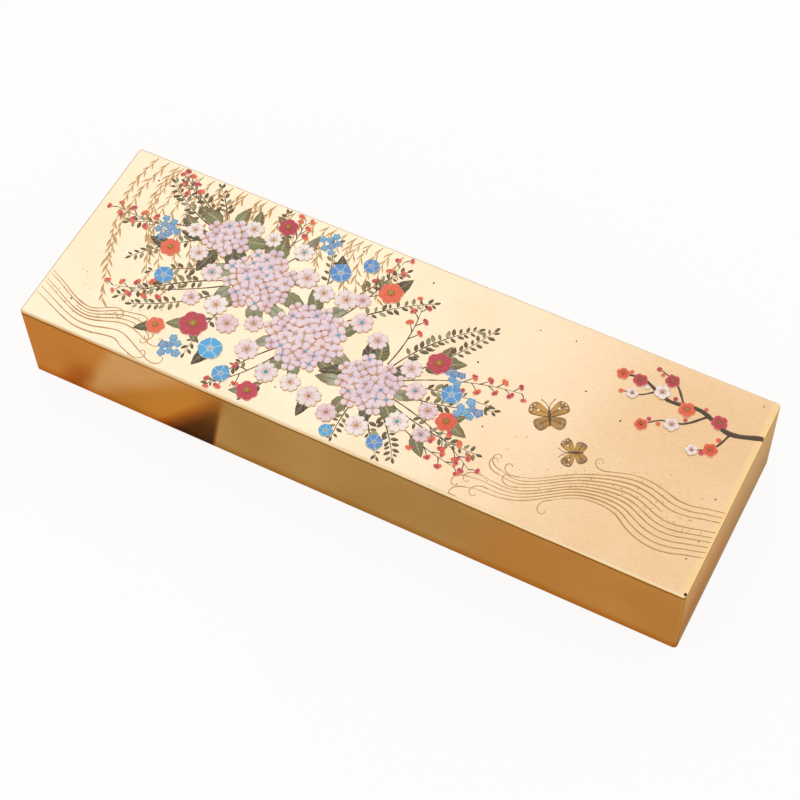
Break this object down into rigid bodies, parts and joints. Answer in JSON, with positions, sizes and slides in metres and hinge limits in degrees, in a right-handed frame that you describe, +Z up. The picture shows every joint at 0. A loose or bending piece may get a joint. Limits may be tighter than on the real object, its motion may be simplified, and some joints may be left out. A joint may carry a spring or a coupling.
{
  "type": "lacquer jewelry box",
  "caption": "Long flat lacquered box whose gold-leafed lid covers a black tray down to the table, with velvet pads, dividers and ring rolls inside.",
  "frame": {"origin": "centre of the base, where the tray stands on the table", "axes": "+X along the length, +Y towards the back long wall, +Z up; the front long wall is at -Y"},
  "size_m": [0.24, 0.078, 0.035],
  "materials": {
    "gold_leaf": "gold leaf under clear lacquer, on a lacquer ground",
    "black_lacquer": "polished black lacquer on wood",
    "wine_velvet": "wine-red velvet over card and foam"
  },
  "bodies": {
    "tray": {"tray_floor_board": "black_lacquer", "tray_front_board": "black_lacquer", "tray_back_board": "black_lacquer", "tray_left_board": "black_lacquer", "tray_right_board": "black_lacquer", "divider_left": "wine_velvet", "divider_right": "wine_velvet", "lining_front_left": "wine_velvet", "lining_back_left": "wine_velvet", "lining_front_middle": "wine_velvet", "lining_back_middle": "wine_velvet", "lining_front_right": "wine_velvet", "lining_back_right": "wine_velvet", "lining_left_end": "wine_velvet", "lining_right_end": "wine_velvet", "necklace_pad": "wine_velvet", "earring_pad": "wine_velvet", "ring_card": "wine_velvet", "ring_roll_1": "wine_velvet", "ring_roll_2": "wine_velvet", "ring_roll_3": "wine_velvet", "ring_roll_4": "wine_velvet", "ring_roll_5": "wine_velvet", "ring_roll_6": "wine_velvet", "ring_roll_7": "wine_velvet"},
    "lid": {"lid_gold_coat": "gold_leaf", "lid_top_board": "black_lacquer", "lid_front_board": "black_lacquer", "lid_back_board": "black_lacquer", "lid_left_board": "black_lacquer", "lid_right_board": "black_lacquer"}
  },
  "joints": [
    {"name": "lid_lift", "type": "slide", "parent": "tray", "child": "lid", "axis": [0, 0, 1], "range_m": [0, 0.06]}
  ]
}
